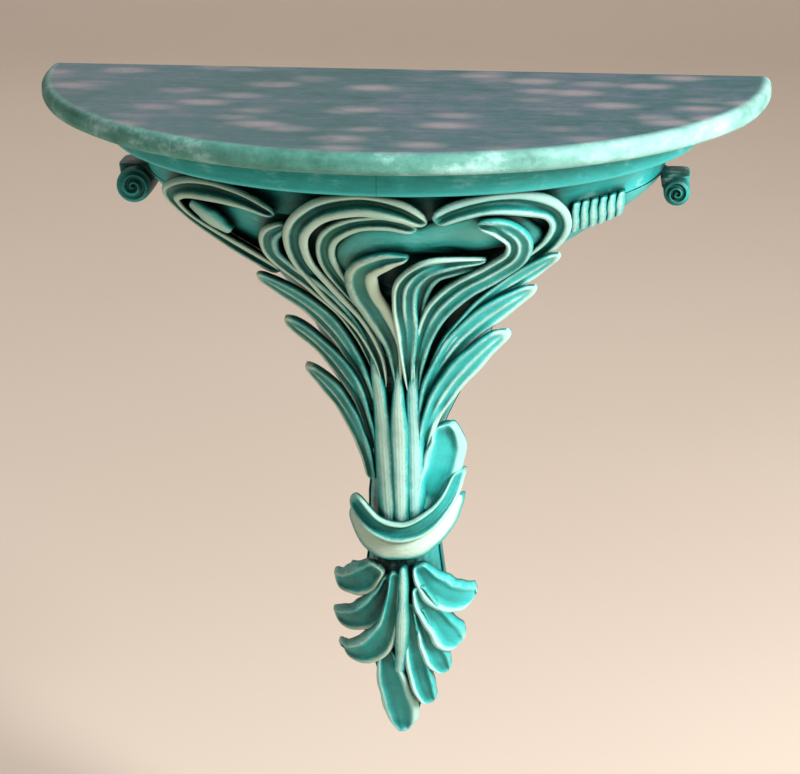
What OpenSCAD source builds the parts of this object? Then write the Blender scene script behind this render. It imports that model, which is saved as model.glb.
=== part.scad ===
// Carved acanthus wall bracket with a half-round shelf board.
// Millimetres, +Z up, front towards -Y, wall face on y = 0.
// The origin is midway between the two keyhole hangers, on the wall face.

/* [Board] */
// width of the half-round board
board_w = 440; // [300:10:600]
// thickness of the board
board_t = 12.7; // [9:0.1:20]
// rounding of the board's edge
board_round = 5; // [1:0.5:6]

/* [Bracket] */
// height from the board's top to the tail tip
bracket_h = 436; // [300:4:560]
// height of the canopy moulding
canopy_h = 40; // [30:1:48]
// overhang of the board past the canopy
overhang = 39; // [10:1:60]
// thickness of the back board
back_t = 10; // [8:0.5:16]
// seat left between glued pieces
seat = 0.2; // [0.1:0.05:0.4]

/* [Carving] */
// thickness of a carved leaf at its edges
leaf_t = 7; // [5:0.5:12]
// extra thickness along a leaf's middle
leaf_keel = 9; // [4:0.5:14]
// relief of the leaves against the drawn one
relief = 1; // [0.7:0.05:1.3]
// steps along a leaf for each drawn point
leaf_steps = 2; // [1:1:3]

/* [Hangers] */
// distance between the two keyholes
hanger_pitch = 200; // [160:10:260]
// depth of the keyholes below the board's top
hanger_drop = 45; // [36:1:50]
// radius of the keyhole's entry
key_r = 4.5; // [3.5:0.1:5.5]
// width of the keyhole's slot
key_slot = 4.6; // [3:0.1:5]
// thickness of the keyhole plate
plate_t = 2; // [1.5:0.1:3]
// radius of a plate screw
plate_screw_r = 1.5; // [1:0.1:2]
// radius of a back board screw
back_screw_r = 2; // [1.5:0.1:3]
// radius of a dowel
dowel_r = 4; // [3:0.5:5]

/* [Hidden] */
$fn = 48;
board_r = board_w / 2;
canopy_r = board_r - overhang;
cove_r = 19;
neck_r = canopy_r - cove_r - 4;
canopy_low = board_t + canopy_h;
// the carving is drawn for a neck of this radius, a canopy that ends this far down and this height
drawn_neck = 158;
drawn_low = 52.7;
drawn_h = 436;
sx = neck_r / drawn_neck;
sz = (bracket_h - canopy_low) / (drawn_h - drawn_low);
top_z = hanger_drop;
board_z = top_z - board_t;
canopy_z = board_z - canopy_h;
sides = 32;

// half width and depth of the form the leaves follow, at heights below the board's top
WIDE = [[46, 165], [60, 156], [70, 146], [84, 130], [100, 112], [115, 100], [130, 90], [145, 82],
    [160, 74], [175, 67], [190, 60], [205, 54], [220, 48], [235, 44], [250, 41], [270, 40], [290, 41],
    [305, 44], [320, 46], [335, 47], [350, 46], [365, 43], [380, 38], [395, 32], [410, 24], [424, 15], [436, 6]];
DEEP = [[46, 160], [60, 150], [70, 142], [84, 130], [100, 116], [115, 105], [130, 94], [145, 85],
    [160, 77], [175, 70], [190, 64], [205, 59], [220, 54], [235, 51], [250, 48], [270, 46], [290, 45],
    [305, 45], [320, 44], [335, 42], [350, 39], [365, 35], [380, 31], [395, 26], [410, 21], [424, 17], [436, 13]];
// half width of the block behind the leaves
CORE_WIDE = [[46, 165], [60, 155], [70, 143], [84, 119], [100, 94], [115, 77], [130, 64], [145, 55],
    [160, 48], [175, 41], [190, 35], [205, 29], [220, 24], [235, 21], [250, 21], [270, 23], [290, 23],
    [305, 23], [320, 25], [335, 27], [350, 27], [365, 25], [380, 22], [395, 18], [410, 14], [424, 9], [436, 4]];

// leaves: rows of [across, down from the board's top, half width, lift off the block]
SCROLL_LEFT = [[26, 53, 4, 12], [12, 44, 6, 14], [-10, 40, 6, 14], [-34, 46, 7, 14], [-48, 62, 7, 14],
    [-48, 84, 7, 13], [-36, 106, 6, 12], [-19, 130, 5, 11], [-9, 156, 4, 9], [-6, 180, 3, 7]];
SCROLL_LEFT_RIB = [[20, 58, 4, 10], [5, 52, 5, 11], [-14, 54, 5, 11], [-29, 64, 5, 11], [-33, 80, 5, 11],
    [-27, 98, 5, 10], [-16, 117, 4, 9], [-8, 136, 3, 8], [-4, 156, 3, 7]];
SCROLL_LEFT_FLOOR = [[22, 65, 4, 4], [8, 62, 6, 5], [-10, 64, 7, 5], [-22, 76, 6, 5], [-22, 92, 5, 5]];
PLUME_LEFT = [[15, 76, 2, 17], [1, 79, 6, 18], [-12, 88, 9, 18], [-13, 104, 9, 17], [-6, 122, 8, 15],
    [1, 144, 6, 13], [2, 164, 4, 10], [2, 184, 3, 8]];
PLUME_RIGHT = [[58, 80, 2, 20], [40, 80, 4, 21], [24, 84, 6, 21], [13, 96, 7, 21], [10, 113, 7, 19],
    [10, 134, 6, 16], [9, 158, 5, 12], [9, 184, 3, 9]];
PLUME_RIGHT_RIB = [[56, 87, 2, 12], [40, 88, 4, 13], [27, 93, 4, 13], [20, 106, 4, 12], [17, 124, 3, 11]];
LEAF_MAIN = [[54, 52, 3, 20], [67, 56, 6, 22], [76, 66, 7, 23], [74, 80, 8, 22], [60, 92, 8, 20],
    [43, 103, 8, 18], [29, 118, 7, 16], [20, 138, 6, 13], [15, 160, 5, 11], [13, 186, 3, 8]];
SCROLL_RIGHT = [[30, 51, 4, 12], [42, 45, 6, 13], [60, 41, 6, 14], [78, 42, 7, 14], [94, 49, 6, 13],
    [99, 62, 6, 12], [93, 77, 6, 11], [79, 90, 5, 10]];
SCROLL_RIGHT_FLOOR = [[40, 55, 4, 5], [56, 50, 5, 6], [74, 52, 6, 6], [85, 62, 6, 6], [84, 76, 5, 6]];
FROND_R1 = [[97, 87, 4, 18], [81, 98, 7, 16], [62, 111, 6, 14], [47, 126, 5, 12], [34, 143, 4, 11],
    [26, 160, 4, 10], [21, 173, 3, 9]];
FROND_R2 = [[83, 112, 4, 20], [67, 121, 8, 17], [50, 134, 9, 14], [37, 148, 8, 12], [27, 165, 6, 11],
    [20, 184, 5, 9], [16, 204, 3, 7]];
FROND_R3 = [[66, 143, 4, 20], [54, 153, 8, 17], [42, 166, 9, 14], [31, 181, 8, 12], [22, 199, 6, 10],
    [17, 217, 4, 8], [14, 238, 3, 6]];
SCROLL_OUTER = [[-60, 52, 3, 12], [-76, 45, 5, 13], [-96, 42, 6, 14], [-116, 45, 6, 14], [-128, 55, 6, 13],
    [-121, 69, 6, 12], [-103, 80, 6, 11], [-83, 90, 6, 10], [-65, 100, 4, 9]];
BUD_OUTER = [[-114, 55, 4, 12], [-106, 60, 7, 14], [-99, 67, 7, 12], [-92, 74, 4, 8]];
FROND_L1 = [[-54, 59, 3, 11], [-65, 68, 5, 13], [-66, 82, 6, 13], [-57, 94, 6, 12], [-43, 106, 6, 11],
    [-29, 122, 5, 10], [-18, 144, 4, 9], [-12, 168, 3, 7]];
FROND_L2 = [[-81, 106, 4, 18], [-66, 112, 7, 15], [-50, 122, 8, 12], [-36, 137, 7, 11], [-26, 156, 6, 10],
    [-18, 178, 4, 8], [-14, 198, 3, 6]];
FROND_L3 = [[-67, 138, 4, 18], [-54, 145, 7, 15], [-42, 156, 7, 12], [-31, 171, 7, 11], [-23, 189, 5, 9],
    [-18, 208, 4, 8], [-15, 226, 3, 6]];
FROND_L4 = [[-56, 172, 4, 18], [-45, 181, 7, 14], [-34, 195, 7, 11], [-26, 212, 6, 10], [-20, 231, 4, 8],
    [-17, 248, 3, 6]];
STEM_LEFT = [[-10, 172, 3, 8], [-9, 196, 4, 9], [-8, 228, 5, 9], [-7, 256, 5, 9], [-6, 272, 5, 8]];
STEM_MID = [[2, 186, 3, 9], [2, 206, 4, 11], [2, 232, 4, 11], [2, 256, 4, 10], [2, 272, 4, 9]];
STEM_RIGHT = [[11, 180, 3, 8], [11, 204, 4, 9], [11, 232, 4, 9], [11, 256, 4, 9], [11, 272, 4, 8]];
CUP_SIDE = [[27, 207, 4, 6], [32, 222, 8, 8], [29, 241, 10, 8], [21, 256, 9, 8], [14, 264, 6, 8]];
CUP_RIM = [[37, 246, 4, 12], [30, 262, 5, 16], [16, 274, 6, 18], [0, 278, 6, 18], [-16, 274, 6, 17],
    [-30, 262, 5, 14]];
CUP_BAND = [[36, 265, 5, 8], [26, 279, 8, 11], [12, 288, 9, 13], [-2, 290, 9, 13], [-16, 287, 9, 12],
    [-31, 273, 5, 9]];
DROP_L1 = [[-43, 322, 5, 12], [-34, 323, 10, 12], [-22, 317, 11, 11], [-13, 305, 6, 10]];
DROP_L2 = [[-44, 347, 5, 14], [-33, 349, 10, 13], [-20, 342, 11, 12], [-11, 327, 7, 10], [-6, 312, 3, 9]];
DROP_L3 = [[-41, 370, 5, 16], [-30, 373, 9, 16], [-17, 366, 10, 14], [-8, 348, 7, 13], [-4, 327, 4, 12],
    [-2, 308, 3, 11]];
DROP_R1 = [[46, 332, 5, 14], [38, 334, 11, 14], [27, 328, 12, 13], [18, 315, 8, 11], [12, 303, 4, 10]];
DROP_R2 = [[38, 366, 5, 16], [32, 359, 9, 15], [25, 346, 9, 13], [17, 332, 7, 12], [12, 318, 4, 10]];
DROP_R3 = [[29, 387, 4, 14], [24, 375, 7, 14], [19, 361, 7, 12], [15, 346, 5, 11], [12, 334, 3, 10]];
DROP_R4 = [[19, 410, 4, 16], [15, 397, 7, 15], [11, 377, 7, 12], [8, 353, 5, 11], [6, 330, 3, 10]];
DROP_MID = [[3, 304, 3, 11], [3, 324, 3, 12], [2, 346, 4, 13], [1, 366, 4, 12], [-1, 384, 3, 10]];
DROP_TIP = [[-8, 366, 4, 8], [-7, 382, 8, 10], [-4, 400, 11, 10], [-1, 416, 11, 9], [0, 428, 8, 8],
    [1, 434, 4, 8]];

// each leaf's rows, how much its edges rise and how much it leans to one side
LEAVES = [
    [SCROLL_LEFT, 4, 0], [SCROLL_LEFT_RIB, 3, 0], [SCROLL_LEFT_FLOOR, 2, 0], [PLUME_LEFT, 3, -2],
    [PLUME_RIGHT, 4, 1], [PLUME_RIGHT_RIB, 2, 0], [LEAF_MAIN, 4, 2], [SCROLL_RIGHT, 4, 0],
    [SCROLL_RIGHT_FLOOR, 2, 0], [FROND_R1, 3, -4], [FROND_R2, 3, -4], [FROND_R3, 3, -4],
    [SCROLL_OUTER, 4, 0], [BUD_OUTER, -4, 0], [FROND_L1, 3, 2], [FROND_L2, 3, 4], [FROND_L3, 3, 4],
    [FROND_L4, 3, 4], [STEM_LEFT, -2, 0], [STEM_MID, -3, 0], [STEM_RIGHT, -2, 0], [CUP_SIDE, 4, 0],
    [CUP_RIM, -2, 0], [CUP_BAND, -3, 0], [DROP_L1, 3, 3], [DROP_L2, 3, 3], [DROP_L3, 3, 3],
    [DROP_R1, 3, -3], [DROP_R2, 3, -2], [DROP_R3, 3, -2], [DROP_R4, 3, -2], [DROP_MID, -3, 0],
    [DROP_TIP, 3, 0],
];
// the leaves that lie over each leaf
OVER = [
    [3, 4, 18, 19], [0, 3, 4, 18], [0, 1, 3, 4], [4, 6, 19], [6, 19, 20], [4, 6, 3], [19, 20], [6, 0, 4, 9],
    [6, 7, 9], [6, 4, 20], [9, 6, 20, 4], [10, 9, 20, 6, 21], [14, 13], [], [0, 18, 1, 3], [14, 0, 18], [15, 14, 0, 18],
    [16, 15, 18, 0], [19, 22, 23], [22, 23], [19, 22, 23], [22, 23, 20], [23], [], [23, 25, 26, 31], [23, 26, 31],
    [23, 31, 30, 32], [23, 28, 29, 30, 31], [23, 29, 30, 31], [30, 31, 23], [31, 32, 23], [23, 32], [],
];

// height of a drawn point: rows beside the canopy keep their place on it, the rest stretch below it
function height(down) =
    top_z - canopy_low - (down - drawn_low) * (down < drawn_low ? 1 : sz);
function wide(down) = lookup(down, WIDE) * sx;
function deep(down) = lookup(down, DEEP) * sx;
function core_wide(down) = lookup(down, CORE_WIDE) * sx;
// point on the half ellipse the leaves follow, at an angle from the front, lifted forwards
function on_form(turn, down, lift) =
    [wide(down) * sin(turn), -deep(down) * cos(turn) - lift, height(down)];
// point on the block, at an angle from the front, pushed out along its normal
function on_core(turn, down, out) =
    let (a = core_wide(down), b = deep(down), nx = sin(turn) / a, ny = cos(turn) / b, n = norm([nx, ny]))
    [a * sin(turn) + out * nx / n, -b * cos(turn) - out * ny / n, height(down)];
function turn_at(across, down) = asin(max(-0.985, min(0.985, across * sx / wide(down))));
// smooth curve through the drawn rows
function curve_at(p, i, u) =
    let (last = len(p) - 1, a = p[max(0, i - 1)], b = p[i], c = p[min(last, i + 1)], d = p[min(last, i + 2)])
    0.5 * (2 * b + (c - a) * u + (2 * a - 5 * b + 4 * c - d) * u * u + (3 * b - a - 3 * c + d) * u * u * u);
function curve(p) = [
    for (i = [0 : len(p) - 2]) for (s = [0 : leaf_steps - 1]) curve_at(p, i, s / leaf_steps),
    p[len(p) - 1],
];
ACROSS = [-1, -0.72, -0.36, 0, 0.36, 0.72, 1];

// one leaf: a ribbon that follows the curve, with raised edges, as thick as leaf_t
module leaf(k, grow = 0) {
    line = curve(LEAVES[k][0]);
    rise = LEAVES[k][1];
    lean = LEAVES[k][2];
    count = len(line);
    lanes = len(ACROSS);
    ring = 2 * lanes;
    points = [
        for (i = [0 : count - 1])
            let (
                here = line[i],
                ahead = line[min(count - 1, i + 1)] - line[max(0, i - 1)],
                length = norm([ahead[0], ahead[1]]),
                side = [ahead[1], -ahead[0]] / length,
                end = i == 0 ? -grow : i == count - 1 ? grow : 0,
                mid = [here[0], here[1]] + end * [ahead[0], ahead[1]] / length,
                half = here[2] + grow
            )
            for (j = [0 : ring - 1])
                let (
                    s = j < lanes ? ACROSS[j] : ACROSS[ring - 1 - j],
                    spot = mid + s * half * side,
                    shape = relief * (rise * (s * s - 0.5) + lean * s) * min(1, here[2] / 6),
                    top = here[3] * relief + shape + grow,
                    under = leaf_t + leaf_keel * (1 - s * s) * min(1, here[2] / 6) + 2 * grow,
                    lift = j < lanes ? top : top - under
                )
                on_form(turn_at(spot[0], spot[1]), spot[1], lift)
    ];
    faces = [
        for (i = [0 : count - 2]) for (j = [0 : ring - 1])
            let (a = i * ring + j, b = i * ring + (j + 1) % ring)
            for (t = [[a, b, b + ring], [a, b + ring, a + ring]]) t,
        for (j = [0 : lanes - 2])
            for (t = [[j, ring - 1 - j, ring - 2 - j], [j, ring - 2 - j, j + 1]]) t,
        for (j = [0 : lanes - 2])
            let (e = (count - 1) * ring)
            for (t = [[e + j, e + ring - 2 - j, e + ring - 1 - j], [e + j, e + j + 1, e + ring - 2 - j]]) t,
    ];
    polyhedron(points, faces, convexity = 8);
}

// the carved block between two heights, in front of the back board
module block(from, to, grow = 0) {
    heights = concat(from, [for (r = CORE_WIDE) if (r[0] > from && r[0] < to) r[0]], to);
    count = len(heights) - 1;
    points = [for (down = heights) for (j = [0 : sides]) on_core(-90 + 180 * j / sides, down, grow)];
    ring = sides + 1;
    faces = [
        for (i = [0 : count - 1]) for (j = [0 : sides - 1])
            let (a = i * ring + j)
            for (t = [[a, a + ring + 1, a + ring], [a, a + 1, a + ring + 1]]) t,
        for (i = [0 : count - 1])
            let (a = i * ring, b = i * ring + sides)
            for (t = [[a, b + ring, b], [a, a + ring, b + ring]]) t,
        [for (j = [sides : -1 : 0]) j],
        [for (j = [0 : sides]) count * ring + j],
    ];
    polyhedron(points, faces, convexity = 8);
}

// joins its children into one closed shape
module as_one() {
    resize([0, 0, 0]) children();
}

// leaf k as it is seated: the block, the canopy and the leaves over it cut away
module seated_leaf(k) {
    as_one() difference() {
        leaf(k);
        block(canopy_down, bracket_down, seat);
        canopy_round(seat);
        behind_back(seat);
        for (j = OVER[k]) leaf(j, seat);
    }
}

bracket_down = drawn_h;
canopy_down = drawn_low + 0.3;
wall_reach = 2 * board_w;

// everything from the front of the back board to the wall and beyond
module behind_back(grow = 0) {
    translate([-wall_reach / 2, -back_t - grow, -wall_reach])
        cube([wall_reach, wall_reach, 2 * wall_reach]);
}

// half-round cove moulding under the board
module canopy_round(grow = 0) {
    rotate([0, 0, 180]) rotate_extrude(angle = 180, $fn = 120) canopy_profile(grow);
}
module canopy_profile(grow = 0) {
    low = canopy_z - grow;
    high = board_z - seat;
    difference() {
        translate([0, low]) square([canopy_r + grow, high - low]);
        translate([neck_r + cove_r + grow, low]) circle(cove_r);
        translate([neck_r + cove_r + grow, low - cove_r]) square([canopy_r, 2 * cove_r]);
    }
}
dowel_spots = [[-120, -60], [-60, -120], [60, -120], [120, -60]];
dowel_high = board_z + 8;
dowel_low = board_z - 20;
module dowel_set(grow = 0) {
    for (p = dowel_spots) translate([p[0] * sx, p[1] * sx, dowel_low - grow])
        cylinder(h = dowel_high - dowel_low + 2 * grow, r = dowel_r + grow);
}

module board_profile() {
    square([board_r - board_round, board_t]);
    square_edge = board_t - 2 * board_round;
    translate([0, board_round]) square([board_r, square_edge]);
    for (z = [board_round, board_t - board_round])
        translate([board_r - board_round, z]) circle(board_round);
}
module top_board() {
    color("turquoise") difference() {
        translate([0, 0, board_z]) rotate([0, 0, 180])
            rotate_extrude(angle = 180, $fn = 160) board_profile();
        dowel_set(seat);
    }
}

// one quarter of the moulding, from the given angle
module canopy_quarter(from) {
    difference() {
        rotate([0, 0, from]) rotate_extrude(angle = 90, $fn = 120) canopy_profile();
        behind_back(seat);
        dowel_set(seat);
    }
}
module canopy_left() {
    color("teal") intersection() {
        canopy_quarter(180);
        translate([-board_w, -board_w, -board_w]) cube([board_w - seat / 2, board_w, 2 * board_w]);
    }
}
module canopy_right() {
    color("teal") intersection() {
        canopy_quarter(270);
        translate([seat / 2, -board_w, -board_w]) cube([board_w, board_w, 2 * board_w]);
    }
}

// carved block that hangs from the end of the canopy, with a small volute
module drop_block(side, drop_w, drop_h, eye_r) {
    reach = canopy_r - 8;
    eye_y = -back_t - 32;
    low = canopy_z - seat - drop_h;
    as_one() difference() {
        union() {
            translate([side > 0 ? reach - drop_w : -reach, -back_t - 26, low + eye_r])
                cube([drop_w, 26 - seat, drop_h - eye_r]);
            translate([side * (reach - eye_r), eye_y, low + eye_r])
                rotate([-90, 0, 0]) cylinder(h = 32 - seat, r = eye_r, $fn = 40);
            translate([side * (reach - eye_r), eye_y - 3, low + eye_r])
                rotate([-90, 0, 0]) cylinder(h = 4, r = eye_r * 0.45, $fn = 32);
        }
        block(canopy_down, bracket_down, seat);
    }
}
module drop_block_left() {
    color("teal") drop_block(-1, 24, 24, 11);
}
module drop_block_right() {
    color("teal") drop_block(1, 18, 18, 8);
}

// short flutes carved on the right of the canopy's neck
module flute_strip() {
    flute_r = 2.2;
    first = 107;
    pitch = 5;
    color("paleturquoise") as_one() difference() {
        union() {
            for (i = [0 : 4]) hull() for (e = [0, 1]) for (down = [54, 68])
                translate(on_form(turn_at(first + (i + e) * pitch, down), down, 1.5))
                    sphere(2.5, $fn = 6);
            for (i = [0 : 5]) hull() for (down = [50, 72])
                translate(on_form(turn_at(first + i * pitch, down), down, 3))
                    sphere(flute_r, $fn = 6);
        }
        block(canopy_down, bracket_down, seat);
        canopy_round(seat);
    }
}

back_outline = concat(
    [[canopy_r - 2, board_z - seat], [neck_r, canopy_z]],
    [for (i = [1 : len(CORE_WIDE) - 1]) [CORE_WIDE[i][1] * sx, height(CORE_WIDE[i][0])]]
);
module back_shape() {
    polygon(concat(back_outline, [for (i = [len(back_outline) - 1 : -1 : 0])
        [-back_outline[i][0], back_outline[i][1]]]));
}
key_travel = 10;
pocket_r = 7;
pocket_depth = back_t - 1.5;
plate_w = 18;
plate_low = -12;
plate_high = board_z - 6.3;
plate_screws_z = [plate_low + 4, plate_high - 5];
module plate_pocket() {
    translate([-plate_w / 2 - seat, -plate_t - seat, plate_low - seat])
        cube([plate_w + 2 * seat, plate_t + 1, plate_high - plate_low + 2 * seat]);
    for (z = [0, key_travel]) translate([0, 0, z])
        rotate([90, 0, 0]) cylinder(h = pocket_depth, r = pocket_r);
    translate([-pocket_r, -pocket_depth, 0]) cube([2 * pocket_r, pocket_depth, key_travel]);
}
back_screw_spots = [[-45, 80], [45, 80], [0, 150], [0, 300]];
back_screw_l = 30;
head_sunk = 1;
module back_screw(grow = 0) {
    head_h = back_screw_r;
    translate([0, -head_sunk + grow, 0]) rotate([90, 0, 0]) {
        cylinder(h = back_screw_l + 2 * grow, r = back_screw_r + grow);
        cylinder(h = head_h + grow, r1 = 2 * back_screw_r + grow, r2 = back_screw_r + grow);
    }
}
module back_screw_set(grow = 0) {
    for (p = back_screw_spots) translate([p[0] * sx, 0, height(p[1])]) back_screw(grow);
}
module plate_screw(grow = 0) {
    screw_l = back_t - 3;
    translate([0, -0.3 + grow, 0]) rotate([90, 0, 0]) {
        cylinder(h = screw_l + 2 * grow, r = plate_screw_r + grow);
        cylinder(h = plate_screw_r + grow, r1 = 2 * plate_screw_r + grow, r2 = plate_screw_r + grow);
    }
}
module plate_screw_set(grow = 0) {
    for (side = [-1, 1]) for (z = plate_screws_z)
        translate([side * hanger_pitch / 2, 0, z]) plate_screw(grow);
}
module back_board() {
    color("tan") difference() {
        rotate([90, 0, 0]) linear_extrude(back_t) back_shape();
        for (side = [-1, 1]) translate([side * hanger_pitch / 2, 0, 0]) plate_pocket();
        back_screw_set(seat);
        head_bores();
        plate_screw_set(seat);
    }
}
// clears the sunk heads of the back screws out to the wall face
module head_bores() {
    for (p = back_screw_spots) translate([p[0] * sx, 1, height(p[1])])
        rotate([90, 0, 0]) cylinder(h = 2 + seat, r = 2 * back_screw_r + seat);
}

split_down = 190;
module core(from, to) {
    as_one() difference() {
        block(from, to);
        behind_back(seat);
        back_screw_set(seat);
    }
}
module core_upper() {
    color("cadetblue") core(canopy_down + seat, split_down - seat);
}
module core_lower() {
    color("cadetblue") core(split_down, bracket_down);
}
module dowels() {
    color("burlywood") dowel_set();
}
module back_screws() {
    color("silver") back_screw_set();
}
module keyhole_plate() {
    difference() {
        translate([-plate_w / 2, -plate_t, plate_low]) cube([plate_w, plate_t, plate_high - plate_low]);
        rotate([90, 0, 0]) translate([0, 0, -1]) cylinder(h = plate_t + 2, r = key_r);
        translate([-key_slot / 2, -plate_t - 1, 0]) cube([key_slot, plate_t + 2, key_travel]);
        translate([0, 0, key_travel]) rotate([90, 0, 0])
            translate([0, 0, -1]) cylinder(h = plate_t + 2, r = key_slot / 2);
        for (z = plate_screws_z) translate([0, 0, z]) {
            plate_screw(seat);
            translate([0, 1, 0]) rotate([90, 0, 0]) cylinder(h = 1.3, r = 2 * plate_screw_r + seat);
        }
    }
}
module keyhole_plate_left() {
    color("goldenrod") translate([-hanger_pitch / 2, 0, 0]) keyhole_plate();
}
module keyhole_plate_right() {
    color("goldenrod") translate([hanger_pitch / 2, 0, 0]) keyhole_plate();
}
module plate_screws() {
    color("silver") plate_screw_set();
}

module scroll_left() {
    color("teal") seated_leaf(0);
}
module scroll_left_rib() {
    color("mediumturquoise") seated_leaf(1);
}
module scroll_left_floor() {
    color("teal") seated_leaf(2);
}
module plume_left() {
    color("wheat") seated_leaf(3);
}
module plume_right() {
    color("mediumturquoise") seated_leaf(4);
}
module plume_right_rib() {
    color("mediumturquoise") seated_leaf(5);
}
module leaf_main() {
    color("mediumturquoise") seated_leaf(6);
}
module scroll_right() {
    color("mediumturquoise") seated_leaf(7);
}
module scroll_right_floor() {
    color("mediumturquoise") seated_leaf(8);
}
module frond_r1() {
    color("mediumturquoise") seated_leaf(9);
}
module frond_r2() {
    color("mediumturquoise") seated_leaf(10);
}
module frond_r3() {
    color("mediumturquoise") seated_leaf(11);
}
module scroll_outer() {
    color("teal") seated_leaf(12);
}
module bud_outer() {
    color("teal") seated_leaf(13);
}
module frond_l1() {
    color("teal") seated_leaf(14);
}
module frond_l2() {
    color("teal") seated_leaf(15);
}
module frond_l3() {
    color("teal") seated_leaf(16);
}
module frond_l4() {
    color("teal") seated_leaf(17);
}
module stem_left() {
    color("teal") seated_leaf(18);
}
module stem_mid() {
    color("teal") seated_leaf(19);
}
module stem_right() {
    color("mediumturquoise") seated_leaf(20);
}
module cup_side() {
    color("mediumturquoise") seated_leaf(21);
}
module cup_rim() {
    color("wheat") seated_leaf(22);
}
module cup_band() {
    color("wheat") seated_leaf(23);
}
module drop_l1() {
    color("teal") seated_leaf(24);
}
module drop_l2() {
    color("teal") seated_leaf(25);
}
module drop_l3() {
    color("teal") seated_leaf(26);
}
module drop_r1() {
    color("mediumturquoise") seated_leaf(27);
}
module drop_r2() {
    color("mediumturquoise") seated_leaf(28);
}
module drop_r3() {
    color("mediumturquoise") seated_leaf(29);
}
module drop_r4() {
    color("mediumturquoise") seated_leaf(30);
}
module drop_mid() {
    color("teal") seated_leaf(31);
}
module drop_tip() {
    color("teal") seated_leaf(32);
}

top_board();
canopy_left();
canopy_right();
drop_block_left();
drop_block_right();
flute_strip();
back_board();
core_upper();
core_lower();
dowels();
back_screws();
keyhole_plate_left();
keyhole_plate_right();
plate_screws();
scroll_left();
scroll_left_rib();
scroll_left_floor();
plume_left();
plume_right();
plume_right_rib();
leaf_main();
scroll_right();
scroll_right_floor();
frond_r1();
frond_r2();
frond_r3();
scroll_outer();
bud_outer();
frond_l1();
frond_l2();
frond_l3();
frond_l4();
stem_left();
stem_mid();
stem_right();
cup_side();
cup_rim();
cup_band();
drop_l1();
drop_l2();
drop_l3();
drop_r1();
drop_r2();
drop_r3();
drop_r4();
drop_mid();
drop_tip();
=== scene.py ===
import bpy
import numpy as np
from mathutils import Matrix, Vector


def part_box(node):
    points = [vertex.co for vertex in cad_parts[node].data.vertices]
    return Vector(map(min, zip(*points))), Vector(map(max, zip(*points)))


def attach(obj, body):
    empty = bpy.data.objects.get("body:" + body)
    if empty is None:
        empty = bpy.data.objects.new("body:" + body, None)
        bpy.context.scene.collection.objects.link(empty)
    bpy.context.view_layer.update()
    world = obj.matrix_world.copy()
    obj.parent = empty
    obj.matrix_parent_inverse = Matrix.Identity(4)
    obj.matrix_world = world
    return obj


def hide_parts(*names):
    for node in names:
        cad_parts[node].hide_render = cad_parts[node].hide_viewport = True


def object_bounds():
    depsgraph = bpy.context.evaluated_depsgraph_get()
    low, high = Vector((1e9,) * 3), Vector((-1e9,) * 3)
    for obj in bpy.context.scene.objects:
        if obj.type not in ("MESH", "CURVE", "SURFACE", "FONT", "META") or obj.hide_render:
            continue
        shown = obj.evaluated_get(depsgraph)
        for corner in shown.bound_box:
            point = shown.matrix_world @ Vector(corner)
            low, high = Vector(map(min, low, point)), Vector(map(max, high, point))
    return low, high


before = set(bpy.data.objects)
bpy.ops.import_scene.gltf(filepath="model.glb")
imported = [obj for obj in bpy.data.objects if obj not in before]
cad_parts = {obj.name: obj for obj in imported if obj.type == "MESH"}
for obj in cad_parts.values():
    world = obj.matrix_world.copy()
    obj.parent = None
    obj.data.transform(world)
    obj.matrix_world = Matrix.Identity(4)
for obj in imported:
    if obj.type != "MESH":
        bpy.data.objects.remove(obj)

bl_info = {
    "name": "Acanthus Wall Bracket",
    "version": (1, 0, 0),
    "blender": (4, 5, 0),
    "location": "3D View > Sidebar > Bracket",
    "description": "Builds the carved and painted surfaces of a half-round wall shelf",
    "category": "Object",
}

MM = 0.001
CAD_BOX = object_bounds()
BOARD_LOW, BOARD_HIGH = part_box("top_board")
TOP_Z = BOARD_HIGH[2]
BOARD_R = (BOARD_HIGH[0] - BOARD_LOW[0]) / 2
BOARD_T = BOARD_HIGH[2] - BOARD_LOW[2]
CANOPY_LOW, CANOPY_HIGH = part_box("canopy_right")
CANOPY_R = -CANOPY_LOW[1]
COVE_R = 19 * MM
BACK_T = 10 * MM
SKIN = 0.6 * MM  # how far the uneven surfaces stay inside their pieces
SEAM = 0.0006  # half the joint between the mouldings, in radians

# height below the board's top, half width of the form that the leaves follow, its depth,
# and half width of the block behind the leaves, in millimetres
FORM = np.array([
    [46, 165, 160, 165], [60, 156, 150, 155], [70, 146, 142, 143], [84, 130, 130, 119], [100, 112, 116, 94],
    [115, 100, 105, 77], [130, 90, 94, 64], [145, 82, 85, 55], [160, 74, 77, 48], [175, 67, 70, 41],
    [190, 60, 64, 35], [205, 54, 59, 29], [220, 48, 54, 24], [235, 44, 51, 21], [250, 41, 48, 21],
    [270, 40, 46, 23], [290, 41, 45, 23], [305, 44, 45, 23], [320, 46, 44, 25], [335, 47, 42, 27],
    [350, 46, 39, 27], [365, 43, 35, 25], [380, 38, 31, 22], [395, 32, 26, 18], [410, 24, 21, 14],
    [424, 15, 17, 9], [436, 6, 13, 4]], float)
FORM_DOWN = np.arange(30.0, 452.0)
BLUR = np.hanning(15) / np.hanning(15).sum()


def eased(column):
    """One column of FORM, drawn as straight runs between its rows and then averaged over 15 mm."""
    straight = np.interp(FORM_DOWN, FORM[:, 0], FORM[:, column])
    return np.convolve(np.pad(straight, 7, mode="edge"), BLUR, mode="valid")


FORM_WIDE, FORM_DEEP, CORE_WIDE = eased(1), eased(2), eased(3)


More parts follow.
